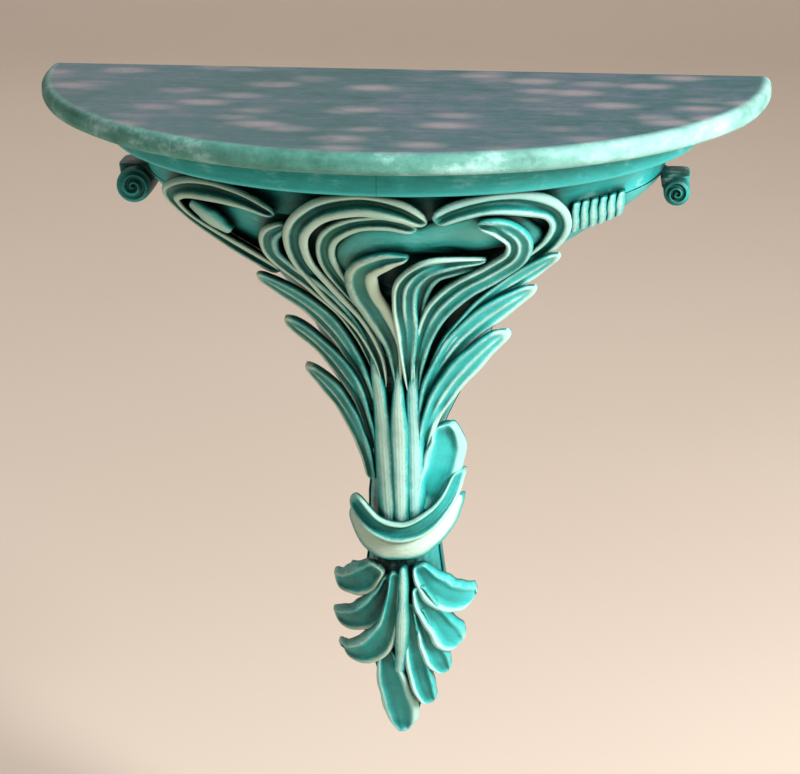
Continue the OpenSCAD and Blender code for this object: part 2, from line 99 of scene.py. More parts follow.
def on_form(across, down, lift):
    """Point of the half ellipse at a height, found from how far across it is and lifted forwards."""
    a = np.interp(down, FORM_DOWN, FORM_WIDE)
    b = np.interp(down, FORM_DOWN, FORM_DEEP)
    turn = np.arcsin(np.clip(across / a, -0.985, 0.985))
    return np.stack([across * MM, (-b * np.cos(turn) - lift) * MM, TOP_Z - down * MM], axis=-1)


def through(rows, count):
    """Smooth curve that passes through every row (uniform Catmull-Rom), as count points."""
    rows = np.asarray(rows, float)
    t = np.linspace(0, len(rows) - 1, count)
    i = np.minimum(t.astype(int), len(rows) - 2)
    u = (t - i)[:, None]
    a, b = rows[np.maximum(i - 1, 0)], rows[i]
    c, d = rows[i + 1], rows[np.minimum(i + 2, len(rows) - 1)]
    return 0.5 * (2 * b + (c - a) * u + (2 * a - 5 * b + 4 * c - d) * u**2 + (3 * b - a - 3 * c + d) * u**3)


def wobble(points, size, seed):
    """Slow unevenness of hand work: three sine waves of different directions, between -1 and 1."""
    p = points / size
    x, y, z = p[..., 0], p[..., 1], p[..., 2]
    return (np.sin(1.3 * x + 2.1 * z + seed) + np.sin(2.7 * y - 1.7 * z + 2.3 * seed)
            + np.sin(1.9 * x - 2.9 * y + 0.7 * seed)) / 3


class Mesh:
    """Collects closed grids of points and turns them into one mesh object with its own attributes."""

    def __init__(self):
        self.points, self.quads, self.tris, self.values = [], [], [], {}
        self.size = 0

    def tube(self, grid, **values):
        """A grid of rings, each closed on itself, with a point at each end. Its faces are turned outwards."""
        count, ring = grid.shape[:2]
        points = np.concatenate([grid.reshape(-1, 3), [grid[0].mean(axis=0), grid[-1].mean(axis=0)]])
        index = np.arange(count * ring).reshape(count, ring)
        a, b = index[:-1], np.roll(index[:-1], -1, axis=1)
        c, d = np.roll(index[1:], -1, axis=1), index[1:]
        quads = np.stack([a, b, c, d], axis=-1).reshape(-1, 4)
        first = np.stack([np.roll(index[0], -1), index[0], np.full(ring, count * ring)], axis=-1)
        last = np.stack([index[-1], np.roll(index[-1], -1), np.full(ring, count * ring + 1)], axis=-1)
        tris = np.concatenate([first, last])
        corners = points[np.concatenate([quads[:, :3], quads[:, [0, 2, 3]], tris])]
        if np.sum(corners[:, 0] * np.cross(corners[:, 1], corners[:, 2])) < 0:
            quads, tris = quads[:, ::-1], tris[:, ::-1]
        self.quads.append(quads + self.size)
        self.tris.append(tris + self.size)
        self.points.append(points)
        for name, value in values.items():
            value = np.broadcast_to(value, (count, ring))
            flat = np.concatenate([value.ravel(), [value[0].mean(), value[-1].mean()]])
            self.values.setdefault(name, []).append(flat)
        self.size += len(points)
        return self

    def finish(self, name, material, node, sharp=None):
        """Makes the object, rides it on the one body and hides the CAD node that it stands for."""
        points = np.concatenate(self.points)
        faces = [q for group in self.quads for q in group.tolist()]
        faces += [t for group in self.tris for t in group.tolist()]
        mesh = bpy.data.meshes.new(name)
        mesh.from_pydata(points.tolist(), [], faces)
        mesh.polygons.foreach_set("use_smooth", np.ones(len(faces), bool))
        for key, groups in self.values.items():
            layer = mesh.attributes.new(key, "FLOAT", "POINT")
            layer.data.foreach_set("value", np.concatenate(groups).astype(np.float32))
        mesh.validate()
        mesh.update()
        if sharp is not None:
            mesh.set_sharp_from_angle(angle=np.radians(sharp))
        piece = bpy.data.objects.new(name, mesh)
        bpy.context.collection.objects.link(piece)
        mesh.materials.append(material)
        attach(piece, "root")
        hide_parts(node)


# each leaf's rows of [across, down from the board's top, half width, lift] in millimetres, the rise of its
# ridges (below zero for one rounded crown), its lean to one side, its share of cream and how lit it is, which
# its paint turns into painted light and shade (low on the shaded left, high on the lit right)
LEAVES = {
    "scroll_left": ([[26, 53, 4, 12], [12, 44, 6, 14], [-10, 40, 6, 14], [-34, 46, 7, 14], [-48, 62, 7, 14],
        [-48, 84, 7, 13], [-36, 106, 6, 12], [-19, 130, 5, 11], [-9, 156, 4, 9],
        [-6, 180, 3, 7]], 4, 0, 0.75, 0.35),
    "scroll_left_rib": ([[20, 58, 4, 10], [5, 52, 5, 11], [-14, 54, 5, 11], [-29, 64, 5, 11],
        [-33, 80, 5, 11], [-27, 98, 5, 10], [-16, 117, 4, 9], [-8, 136, 3, 8],
        [-4, 156, 3, 7]], 3, 0, 0.55, 0.3),
    "scroll_left_floor": ([[44, 72, 7, 4], [24, 67, 9, 7], [8, 66, 11, 8], [-8, 70, 12, 8], [-18, 80, 10, 8],
        [-22, 94, 7, 7]], -1, 0, 0.0, 0.4),
    "plume_left": ([[15, 76, 2, 17], [1, 79, 6, 18], [-12, 88, 9, 18], [-13, 104, 9, 17], [-6, 122, 8, 15],
        [1, 144, 6, 13], [2, 164, 4, 10], [2, 184, 3, 8]], 3, -2, 1.0, 0.2),
    "plume_right": ([[58, 80, 2, 20], [40, 80, 4, 21], [24, 84, 6, 21], [13, 96, 7, 21], [10, 113, 7, 19],
        [10, 134, 6, 16], [9, 158, 5, 12], [9, 184, 3, 9]], 4, 1, 0.95, 0.6),
    "plume_right_rib": ([[56, 87, 2, 12], [40, 88, 4, 13], [27, 93, 4, 13], [20, 106, 4, 12],
        [17, 124, 3, 11]], 2, 0, 0.2, 0.1),
    "leaf_main": ([[54, 52, 3, 20], [67, 56, 6, 22], [76, 66, 7, 23], [74, 80, 8, 22], [60, 92, 8, 20],
        [43, 103, 8, 18], [29, 118, 7, 16], [20, 138, 6, 13], [15, 160, 5, 11],
        [13, 186, 3, 8]], 4, 2, 0.9, 0.8),
    "scroll_right": ([[30, 51, 4, 12], [42, 45, 6, 13], [60, 41, 6, 14], [78, 42, 7, 14], [94, 49, 6, 13],
        [99, 62, 6, 12], [93, 77, 6, 11], [79, 90, 5, 10]], 4, 0, 0.6, 0.8),
    "scroll_right_floor": ([[16, 68, 8, 6], [34, 62, 10, 8], [50, 62, 12, 9], [68, 62, 12, 8], [80, 68, 9, 7],
        [84, 78, 6, 6]], -1, 0, 0.0, 0.8),
    "frond_r1": ([[97, 87, 6, 18], [81, 98, 8, 16], [62, 111, 6, 14], [47, 126, 5, 12], [34, 143, 4, 11],
        [26, 160, 4, 10], [21, 173, 3, 9]], 3, -4, 0.7, 0.8),
    "frond_r2": ([[83, 112, 6, 20], [67, 121, 9, 17], [50, 134, 9, 14], [37, 148, 8, 12], [27, 165, 6, 11],
        [20, 184, 5, 9], [16, 204, 3, 7]], 3, -4, 0.75, 0.8),
    "frond_r3": ([[66, 143, 7, 20], [54, 153, 9, 17], [42, 166, 9, 14], [31, 181, 8, 12], [22, 199, 6, 10],
        [17, 217, 4, 8], [14, 238, 3, 6]], 3, -4, 0.75, 0.8),
    "scroll_outer": ([[-60, 52, 3, 12], [-76, 45, 5, 13], [-96, 42, 6, 14], [-116, 45, 6, 14],
        [-128, 55, 6, 13], [-121, 69, 6, 12], [-103, 80, 6, 11], [-83, 90, 6, 10],
        [-65, 100, 4, 9]], 4, 0, 0.5, 0.15),
    "bud_outer": ([[-114, 55, 4, 12], [-106, 60, 7, 14], [-99, 67, 7, 12],
        [-92, 74, 4, 8]], -4, 0, 0.35, 0.2),
    "frond_l1": ([[-54, 59, 3, 11], [-65, 68, 5, 13], [-66, 82, 6, 13], [-57, 94, 6, 12], [-43, 106, 6, 11],
        [-29, 122, 5, 10], [-18, 144, 4, 9], [-12, 168, 3, 7]], 3, 2, 0.7, 0.25),
    "frond_l2": ([[-81, 106, 6, 18], [-66, 112, 8, 15], [-50, 122, 8, 12], [-36, 137, 7, 11],
        [-26, 156, 6, 10], [-18, 178, 4, 8], [-14, 198, 3, 6]], 3, 4, 0.7, 0.15),
    "frond_l3": ([[-67, 138, 6, 18], [-54, 145, 8, 15], [-42, 156, 7, 12], [-31, 171, 7, 11],
        [-23, 189, 5, 9], [-18, 208, 4, 8], [-15, 226, 3, 6]], 3, 4, 0.7, 0.15),
    "frond_l4": ([[-56, 172, 6, 18], [-45, 181, 8, 14], [-34, 195, 7, 11], [-26, 212, 6, 10],
        [-20, 231, 4, 8], [-17, 248, 3, 6]], 3, 4, 0.7, 0.15),
    "stem_left": ([[-14, 146, 1, 4], [-11, 172, 4, 8], [-9, 196, 5, 9], [-8, 228, 6, 9], [-7, 256, 6, 9],
        [-6, 274, 6, 8], [-6, 286, 4, 5]], -2, 0, 0.5, 0.4),
    "stem_mid": ([[4, 150, 1, 7], [2, 186, 4, 10], [2, 206, 5, 11], [2, 232, 5, 11], [2, 256, 5, 10],
        [2, 274, 5, 9], [2, 288, 4, 5]], -2, 0, 0.75, 0.6),
    "stem_right": ([[15, 150, 1, 4], [11, 180, 4, 9], [11, 204, 5, 9], [11, 232, 5, 9], [11, 256, 5, 9],
        [11, 274, 5, 8], [11, 286, 4, 5]], -2, 0, 0.5, 0.9),
    "cup_side": ([[27, 209, 6, 6], [29, 222, 10, 8], [26, 241, 12, 8], [20, 256, 11, 8],
        [14, 266, 8, 8]], 4, 0, 0.35, 0.9),
    "cup_rim": ([[37, 246, 4, 12], [30, 262, 5, 16], [16, 274, 6, 18], [0, 278, 6, 18], [-16, 274, 6, 17],
        [-30, 262, 5, 14]], 3, 0, 0.45, 0.4),
    "cup_band": ([[36, 265, 5, 8], [26, 279, 8, 11], [12, 288, 9, 13], [-2, 290, 9, 13], [-16, 287, 9, 12],
        [-31, 273, 5, 9]], -3, 0, 1.0, 0.4),
    "drop_l1": ([[-44, 324, 4, 12], [-34, 322, 8, 12], [-23, 316, 10, 11],
        [-13, 305, 6, 10]], 3, 3, 0.65, 0.1),
    "drop_l2": ([[-45, 350, 4, 14], [-34, 348, 8, 13], [-21, 341, 10, 12], [-11, 327, 7, 10],
        [-6, 312, 3, 9]], 3, 3, 0.65, 0.1),
    "drop_l3": ([[-42, 373, 4, 16], [-31, 372, 8, 16], [-18, 365, 10, 14], [-8, 348, 7, 13], [-4, 327, 4, 12],
        [-2, 308, 3, 11]], 3, 3, 0.8, 0.4),
    "drop_r1": ([[47, 336, 4, 14], [38, 332, 9, 14], [28, 326, 11, 13], [18, 315, 8, 11],
        [12, 303, 4, 10]], 3, -3, 0.7, 0.9),
    "drop_r2": ([[38, 366, 5, 16], [32, 359, 9, 15], [25, 346, 9, 13], [17, 332, 7, 12],
        [12, 318, 4, 10]], 3, -2, 0.6, 0.8),
    "drop_r3": ([[29, 387, 4, 14], [24, 375, 7, 14], [19, 361, 7, 12], [15, 346, 5, 11],
        [12, 334, 3, 10]], 3, -2, 0.65, 0.7),
    "drop_r4": ([[19, 410, 4, 16], [15, 397, 7, 15], [11, 377, 7, 12], [8, 353, 5, 11],
        [6, 330, 3, 10]], 3, -2, 0.65, 0.7),
    "drop_mid": ([[3, 304, 3, 11], [3, 324, 3, 12], [2, 346, 4, 13], [1, 366, 4, 12],
        [-1, 384, 3, 10]], -3, 0, 0.6, 0.5),
    "drop_tip": ([[-8, 366, 4, 8], [-7, 382, 8, 10], [-4, 400, 11, 10], [-1, 416, 11, 9], [0, 428, 8, 8],
        [1, 434, 4, 8]], 3, 0, 0.4, 0.6),
}
# leaves with a third ridge along the middle
THREE_RIDGES = {"plume_right", "leaf_main", "frond_r1", "frond_r2", "frond_r3", "frond_l2", "frond_l3",
                "frond_l4"}
# leaves whose ridges are thin rims near the edge
THIN_RIMS = {"scroll_left_floor", "scroll_right_floor", "cup_side", "cup_rim", "drop_l1", "drop_l2",
             "drop_l3", "drop_r1", "drop_r2", "drop_r3", "drop_r4", "drop_tip"}
# leaves that start in a long fine point
FINE_HEAD = {"stem_left", "stem_mid", "stem_right"}
# leaves that end in a long fine point
FINE_FOOT = {"scroll_left", "scroll_left_rib", "plume_left", "plume_right", "leaf_main", "frond_r1",
             "frond_l1"}
UPPER_LEFT = ["scroll_left", "scroll_left_rib", "scroll_left_floor", "plume_left", "scroll_outer", "bud_outer",
              "frond_l1", "frond_l2", "frond_l3", "frond_l4"]
UPPER_RIGHT = ["leaf_main", "plume_right", "plume_right_rib", "scroll_right", "scroll_right_floor", "frond_r1",
               "frond_r2", "frond_r3"]
STEM = ["stem_left", "stem_mid", "stem_right", "cup_side", "cup_rim", "cup_band"]
PENDANT = ["drop_l1", "drop_l2", "drop_l3", "drop_r1", "drop_r2", "drop_r3", "drop_r4", "drop_mid", "drop_tip"]


def smooth(t):
    """Eases a value from 0 to 1 in and out."""
    return t**2 * (3 - 2 * t)


def quarter(t):
    """Height of a quarter circle at t from 0 to 1, held at 1 beyond it."""
    return np.sqrt(np.clip(1 - (1 - np.clip(t, 0, 1)) ** 2, 0, 1))


def leaf_rings(rows, rise, lean, settings, along=96, across=34, under=14, seed=0.0, ridges=2, rim=0.58,
               head=0.07, foot=0.07):
    """Rings of one carved leaf.

    The ribbon follows the curve through the rows. Over its top, two rounded ridges stand near the edges with
    a hollow between them, and the ridges meet round each tip; a negative rise makes one rounded crown.
    The edges turn down as quarter circles, the underside bellies down in the middle, and both ends close
    as rounded tips, over the head's and the foot's share of the length.
    """
    line = through(rows, along)
    wide = line[:, 2]
    ahead = np.gradient(line[:, :2], axis=0)
    ahead /= np.linalg.norm(ahead, axis=1, keepdims=True)
    side = np.stack([ahead[:, 1], -ahead[:, 0]], axis=-1)
    lengths = np.concatenate([[0], np.cumsum(np.linalg.norm(np.diff(line[:, :2], axis=0), axis=1))])
    v = np.linspace(0, 1, along)
    tip = quarter(v / head) * quarter((1 - v) / foot)
    swell = (1 + 0.05 * np.sin(2 * np.pi * (1.7 * v + 0.13 * seed))
             + 0.03 * np.sin(2 * np.pi * (4.1 * v + 0.31 * seed)))
    half = (wide + 0.6) * (0.12 + 0.88 * tip) * swell
    s = np.concatenate([-np.cos(np.linspace(0, np.pi, across)), np.linspace(0.98, -0.98, under)])[None, :]
    on_top = np.arange(across + under)[None, :] < across
    amount = np.minimum(1, wide / 6)[:, None]
    from_tip = np.minimum(lengths, lengths[-1] - lengths)
    closing = smooth(np.clip(1 - from_tip / (0.7 * wide + 1.5), 0, 1))[:, None]
    if rise > 0:
        waves = 0.5 + 0.5 * np.cos(2.5 * np.pi * (s + 0.8))
        gutter = smooth(np.clip((np.abs(s + 0.06) - rim + 0.5) / 0.5, 0, 1))
        middle = np.clip((wide - 4.5) / 2.5, 0, 1) * np.clip(np.minimum(v, 1 - v) / 0.12, 0, 1)
        middle = (0.75 * (ridges - 2) * middle)[:, None]
        high = middle * waves + (1 - middle) * gutter
        high = high * (1 - 0.6 * np.clip(s * np.sign(lean), 0, 1))
        high = high + (0.75 - high) * closing
        shape = rise * (1.7 * high - 1.2)
    else:
        high = 1 - 0.9 * np.abs(s) ** 1.6 + 0 * amount
        shape = -rise * (0.5 - s**2) + 0.12 * np.cos(6 * np.pi * s)
    shape = (shape + lean * s) * amount * settings.relief
    thick = settings.leaf_thickness / MM
    round_off = 1 - np.sqrt(np.clip(1 - np.clip((np.abs(s) - 0.68) / 0.32, 0, 1) ** 2, 0, 1))
    top = line[:, 3:4] * (0.75 + 0.25 * tip[:, None]) + shape - round_off * 0.42 * thick
    belly = (0.58 * thick + 0.9 * thick * (1 - s**2) * amount) * (0.3 + 0.7 * tip[:, None])
    lift = np.where(on_top, top, top - belly)
    spot = line[:, None, :2] + (half[:, None] * s)[..., None] * side[:, None, :]
    drawn = on_form(spot[..., 0], spot[..., 1], lift) / MM
    uneven = 0.4 * wobble(drawn, 9, seed) + 0.16 * wobble(drawn, 3.5, seed + 5)
    points = on_form(spot[..., 0], spot[..., 1], lift + uneven)
    # ridge guides the cream brushing; hollow guides the painted shade in the leaf's gutter and on its
    # underside
    ridge = np.where(on_top, high, 0.0) * (0.55 + 0.45 * amount)
    hollow = np.where(on_top, np.clip(1 - high, 0, 1), 1.0)
    return points, dict(ridge=ridge, hollow=hollow, along=lengths[:, None], over=s * half[:, None])


class Socket:
    """A shader socket that numbers and other sockets can be added to, taken from and multiplied with."""

    def __init__(self, paint, output):
        self.paint, self.output = paint, output

    def _math(self, operation, first, second=None, **settings):
        values = {0: first} if second is None else {0: first, 1: second}
        return self.paint.node("ShaderNodeMath", dict(operation=operation, **settings), values)

    def __add__(self, other):
        return self._math("ADD", self, other)

    def __radd__(self, other):
        return self._math("ADD", other, self)

    def __sub__(self, other):
        return self._math("SUBTRACT", self, other)

    def __rsub__(self, other):
        return self._math("SUBTRACT", other, self)

    def __mul__(self, other):
        return self._math("MULTIPLY", self, other)

    def __rmul__(self, other):
        return self._math("MULTIPLY", other, self)

    def __pow__(self, other):
        return self._math("POWER", self, other)

    def clamp(self):
        """Kept from 0 to 1."""
        return self._math("ADD", self, 0.0, use_clamp=True)

    def step(self, low, high):
        """0 below low, 1 above high and smooth between them."""
        return self.paint.node("ShaderNodeMapRange", dict(interpolation_type="SMOOTHSTEP"),
                               {"Value": self, "From Min": low, "From Max": high})

    def larger(self, other):
        """The larger of this and another, point by point."""
        return self._math("MAXIMUM", self, other)


class Paint:
    """One material and the nodes in it."""

    def __init__(self, name):
        self.material = bpy.data.materials.new(name)
        self.material.use_nodes = True
        self.tree = self.material.node_tree
        self.tree.nodes.clear()
        self.shader = self.tree.nodes.new("ShaderNodeBsdfPrincipled")
        output = self.tree.nodes.new("ShaderNodeOutputMaterial")
        self.tree.links.new(self.shader.outputs["BSDF"], output.inputs["Surface"])

    def _set(self, socket, value):
        """Links a socket to an input or sets the input's own value."""
        if isinstance(value, Socket):
            self.tree.links.new(value.output, socket)
        elif socket.type == "RGBA":
            socket.default_value = (*value[:3], 1.0)
        else:
            socket.default_value = value

    def node(self, kind, settings=None, values=None, output=0):
        """Adds a node of a type, with its settings first and then the values or links of its inputs."""
        node = self.tree.nodes.new(kind)
        for key, value in (settings or {}).items():
            if key == "stops":
                ramp = node.color_ramp
                while len(ramp.elements) < len(value):
                    ramp.elements.new(0.5)
                for element, (place, colour) in zip(ramp.elements, value):
                    element.position, element.color = place, (*colour, 1.0)
            else:
                setattr(node, key, value)
        for key, value in (values or {}).items():
            self._set(node.inputs[key], value)
        return Socket(self, node.outputs[output])

    def place(self, scale=(1, 1, 1), move=(0, 0, 0)):
        """Object coordinates, stretched and moved."""
        spot = self.node("ShaderNodeTexCoord", output="Object")
        return self.node("ShaderNodeMapping", None, {"Vector": spot, "Scale": scale, "Location": move})

    def noise(self, scale, detail, rough, where=None, distortion=0.0):
        """Cloudy noise, from 0 to 1."""
        values = {"Scale": scale, "Detail": detail, "Roughness": rough, "Distortion": distortion,
                  "Vector": where or self.place()}
        return self.node("ShaderNodeTexNoise", None, values, "Fac")

    def cells(self, scale, where, smooth):
        """Distance from the nearest of many scattered spots."""
        values = {"Scale": scale, "Smoothness": smooth, "Vector": where}
        return self.node("ShaderNodeTexVoronoi", dict(feature="SMOOTH_F1"), values, "Distance")

    def value(self, name):
        """A value that the mesh carries at its points."""
        return self.node("ShaderNodeAttribute", dict(attribute_name=name), output="Fac")

    def mix(self, factor, first, second):
        """Mixes two colours. The Mix node's colour sockets are its seventh and eighth inputs."""
        return self.node("ShaderNodeMix", dict(data_type="RGBA"), {0: factor, 6: first, 7: second}, 2)

    def ramp(self, factor, *stops):
        """A colour ramp through stops of a place and a colour."""
        return self.node("ShaderNodeValToRGB", dict(stops=stops), {0: factor})

    def axes(self):
        """The three object coordinates."""
        spot = self.node("ShaderNodeTexCoord", output="Object")
        return [self.node("ShaderNodeSeparateXYZ", None, {0: spot}, i) for i in range(3)]

    def vector(self, x, y, z):
        """One vector from three values."""
        return self.node("ShaderNodeCombineXYZ", None, {0: x, 1: y, 2: z})

    def corners(self, distance):
        """How open the surface is, from 0 in a tight corner to 1 on a free face."""
        return self.node("ShaderNodeAmbientOcclusion", dict(samples=8), {"Distance": distance}, "AO")

    def bump(self, height, distance, strength):
        """A normal that follows a fine relief, distance metres deep."""
        values = {"Height": height, "Distance": distance, "Strength": strength}
        return self.node("ShaderNodeBump", None, values)

    def done(self, **values):
        """Sets the shader's sockets: underscores in a name stand for its spaces."""
        for key, value in values.items():
            self._set(self.shader.inputs[key.replace("_", " ")], value)
        return self.material


def carved_paint(name, settings, cream, light):
    """Teal paint with painted light and shade: darker in corners, in hollows and on the less lit leaves, paler
    on open faces; cream brushed over the ridges.
    """
    p = Paint(name)
    ridge, hollow = p.value("ridge"), p.value("hollow")
    grain = p.vector(p.value("along") * 0.35, p.value("over") * 2.2, p.value("along") * 0.03 + cream)
    strokes = p.noise(1.0, 5.0, 0.65, grain)
    cloud = p.noise(38, 5.0, 0.6)
    speck = p.noise(330, 3.0, 0.6)
    opening = p.corners(0.016)
    tight = p.corners(0.005)
    # painted light and shade: open faces lighter, corners and leaf hollows darker, the whole leaf darker the
    # less lit it is; the cloud and the strokes are the paint's own uneven tone
    shade = (cloud * 0.6 + strokes * 0.6 + opening * 0.8 - hollow * 0.45 + (0.4 * light - 0.54)).clamp()
    teal = p.ramp(shade, (0.0, settings.recess_shade_and_dark_paint), (0.3, settings.deep_teal), (0.62, settings.teal),
                  (1.0, settings.turquoise))
    dry = ridge * (0.75 + 0.45 * cream) + (strokes - 0.5) * 0.8 + (cloud - 0.5) * 0.6 + (opening - 0.8) * 0.4
    brushed = dry.step(0.45, 0.95) * (0.2 + 0.8 * cream**0.5)
    tint = p.noise(17, 3.0, 0.5, p.place(move=(3.1, 0.7, 1.9)))
    # green paint in random patches, partly the paint's own green and partly painted shade: more of it the less
    # lit the leaf is
    teal = p.mix(tint.step(0.48, 0.7) * (0.75 - 0.45 * light), teal, settings.green)
    # colour of the brushed paint: cream, and the pale colour on the lit leaves, a painted highlight
    highlight = p.mix((tint * 0.6 + light - 0.3).clamp(), settings.cream, settings.pale)
    colour = p.mix(brushed, teal, highlight)
    scuffed = (speck + strokes * 0.4).step(0.86, 0.98) * 0.35
    colour = p.mix(scuffed, colour, settings.deep_teal)
    # painted shade: the near-black teal in tight corners
    colour = p.mix((1 - tight).clamp() ** 1.5 * 0.75, colour, settings.recess_shade_and_dark_paint)
    rough = (0.36 + strokes * 0.22 + brushed * 0.12).clamp()
    height = strokes * 0.6 + speck * 0.25 + cloud * 0.5 + brushed * 0.3
    return p.done(Base_Color=colour, Roughness=rough, Normal=p.bump(height, 0.0009, 0.7), IOR=1.42,
                  Coat_Weight=0.1, Coat_Roughness=0.3)


def plain_carved(name, settings, amount):
    """The same teal on the mouldings and blocks, which are plainer, with painted light and shade: light where
    open, dark in corners, and each piece as light as its amount.
    """
    p = Paint(name)
    cloud = p.noise(34, 5.0, 0.6)
    strokes = p.noise(1.0, 5.0, 0.65, p.place((90, 90, 420)))
    speck = p.noise(330, 3.0, 0.6)
    opening, tight = p.corners(0.03), p.corners(0.006)
    # painted light and shade: open faces lighter, and the whole piece lighter or darker by amount, for how
    # much shade falls on it; the cloud and the strokes are the paint's own uneven tone
    shade = (cloud * 0.6 + strokes * 0.5 + opening * 1.3 + (amount - 1.35)).clamp()
    teal = p.ramp(shade, (0.0, settings.recess_shade_and_dark_paint), (0.3, settings.deep_teal), (0.65, settings.teal),
                  (1.0, settings.turquoise))
    wiped = (cloud + strokes * 0.5).step(0.82, 1.02) * 0.35
    colour = p.mix(wiped, teal, settings.pale)
    # painted shade: the near-black teal in tight corners
    colour = p.mix((1 - tight).clamp() * 0.7, colour, settings.recess_shade_and_dark_paint)
    height = strokes * 0.5 + speck * 0.25 + cloud * 0.5
    return p.done(Base_Color=colour, Roughness=(0.4 + strokes * 0.25).clamp(), IOR=1.42, Coat_Weight=0.08,
                  Coat_Roughness=0.3, Normal=p.bump(height, 0.0007, 0.6))


def board_paint(name, settings):
    """Sponged grey-blue top with soft pale blotches; the rounded edge is greener and wiped with white, with a
    painted highlight of more white on its right half.
    """
    p = Paint(name)
    x, y, z = p.axes()
    radius = (x * x + y * y) ** 0.5
    drift = p.noise(9, 3.0, 0.5)
    wide = p.noise(13, 4.0, 0.6, distortion=0.6)
    fine = p.noise(70, 5.0, 0.65, p.place((1, 1.25, 1)), 0.4)
    dab = p.noise(210, 4.0, 0.7)
    streak = p.noise(1.0, 4.0, 0.6, p.place((16, 150, 16)))
    sponge = (wide * 0.4 + fine * 0.4 + dab * 0.25 + (streak - 0.5) * 0.35).clamp()
    top = p.ramp(sponge, (0.34, settings.board_dark), (0.52, settings.board_teal), (0.66, settings.board_grey),
                 (0.85, settings.board_teal))
    spots = p.cells(27, p.place((0.85, 1.5, 1), (0.31, 0.12, 0)), 0.15)
    blotch = (1 - spots.step(0.1, 0.52)) * (drift + fine * 0.35).step(0.4, 0.66)
    top = p.mix((blotch * (0.45 + dab * 0.5)).clamp(), top, settings.blotch)
    rim = radius.step(BOARD_R - 0.0075, BOARD_R - 0.0015)
    under = (1 - z.step(TOP_Z - BOARD_T - 0.0005, TOP_Z - BOARD_T + 0.0012)) * (1 - rim)
    patch = p.noise(26, 5.0, 0.65, p.place((1, 1, 2.2)))
    edge = p.ramp((patch * 0.8 + dab * 0.25).clamp(), (0.32, settings.edge_green), (0.55, settings.edge_teal),
                  (0.72, settings.pale), (0.9, settings.edge_teal))
    # painted highlight: more pale patches on the right half of the edge, where the light falls
    edge = p.mix(x.step(0.0, 0.2) * (patch * 1.4 - 0.2).clamp(), edge, settings.pale)
    colour = p.mix(rim.larger(under), top, edge)
    scratch = p.noise(1.0, 3.0, 0.5, p.place((26, 420, 60))).step(0.66, 0.74) * 0.25
    colour = p.mix(scratch, colour, settings.board_dark)
    height = dab * 0.5 + fine * 0.6 + wide * 0.3
    rough = (0.5 + fine * 0.2 + blotch * 0.12).clamp()
    return p.done(Base_Color=colour, Roughness=rough, Normal=p.bump(height, 0.0008, 0.7), IOR=1.4)


def raw_wood(name, settings, painted=False):
    """Bare softwood: long rings across the grain, fine pores along it and a grey bloom of age.

    On a painted piece the teal also covers the edges and the front, which leaves only the back bare.
    """
    p = Paint(name)
    bend = p.noise(5, 2.0, 0.5, p.place((1, 1, 0.25)))
    x, y, z = p.axes()
    rings = p.noise(1.0, 3.0, 0.5, p.vector(x * 130 + bend * 9, y * 90, z * 3.5)).step(0.38, 0.62)
    pores = p.noise(1.0, 4.0, 0.6, p.place((700, 700, 26)))
    cloud = p.noise(22, 4.0, 0.6)
    wood = p.mix((rings * 0.5 + pores * 0.4 - 0.1).clamp(), settings.wood_light, settings.wood_dark)
    colour = p.mix(cloud.step(0.5, 0.8) * 0.4, wood, settings.wood_grey)
    # painted shade: darker wood in tight corners
    colour = p.mix((1 - p.corners(0.006)).clamp() * 0.5, colour, settings.wood_dark)
    rough = 0.62 + pores * 0.25
    if painted:
        front = (y * -1).step(0.0003, 0.0009)
        colour = p.mix(front, colour, p.mix(cloud, settings.recess_shade_and_dark_paint, settings.teal))
        rough = rough - front * 0.2
    return p.done(Base_Color=colour, Roughness=rough.clamp(), Normal=p.bump(rings * 0.4 + pores, 0.0004, 0.6))


def metal(name, colour, tarnish, rough):
    """Plated metal: brushed along the plate, with tarnish in the corners and in soft patches."""
    p = Paint(name)
    brushed = p.noise(1.0, 3.0, 0.6, p.place((60, 900, 2600)))
    cloud = p.noise(120, 4.0, 0.6)
    dull = cloud.step(0.5, 0.72) * 0.6
    dull = (dull + (1 - p.corners(0.002)).clamp() * 0.6).clamp()
    return p.done(Base_Color=p.mix(dull, colour, tarnish), Metallic=1 - dull * 0.35,
                  Roughness=(rough + brushed * 0.18 + dull * 0.2).clamp(), Normal=p.bump(brushed, 0.0001, 0.4))


class BracketSettings(bpy.types.PropertyGroup):
    """Sizes of the visual bracket"""
    relief: bpy.props.FloatProperty(name="Relief", description="Height of the ridges against the drawn one",
                                    default=1.0, min=0.5, max=1.5, subtype="FACTOR")
    leaf_thickness: bpy.props.FloatProperty(name="Leaf thickness", description="Thickness of a carved leaf",
                                            default=9 * MM, min=5 * MM, max=14 * MM, unit="LENGTH")
    edge_round: bpy.props.FloatProperty(name="Edge rounding", description="Rounding of the board's edge",
                                        default=5 * MM, min=1 * MM, max=6 * MM, unit="LENGTH")


def colour_property(label, default):
    """A colour of the paint or the wood, as red, green and blue."""
    return bpy.props.FloatVectorProperty(name=label, description=f"Colour of the {label.lower()}", size=3,
                                         subtype="COLOR", default=default, min=0.0, max=1.0)


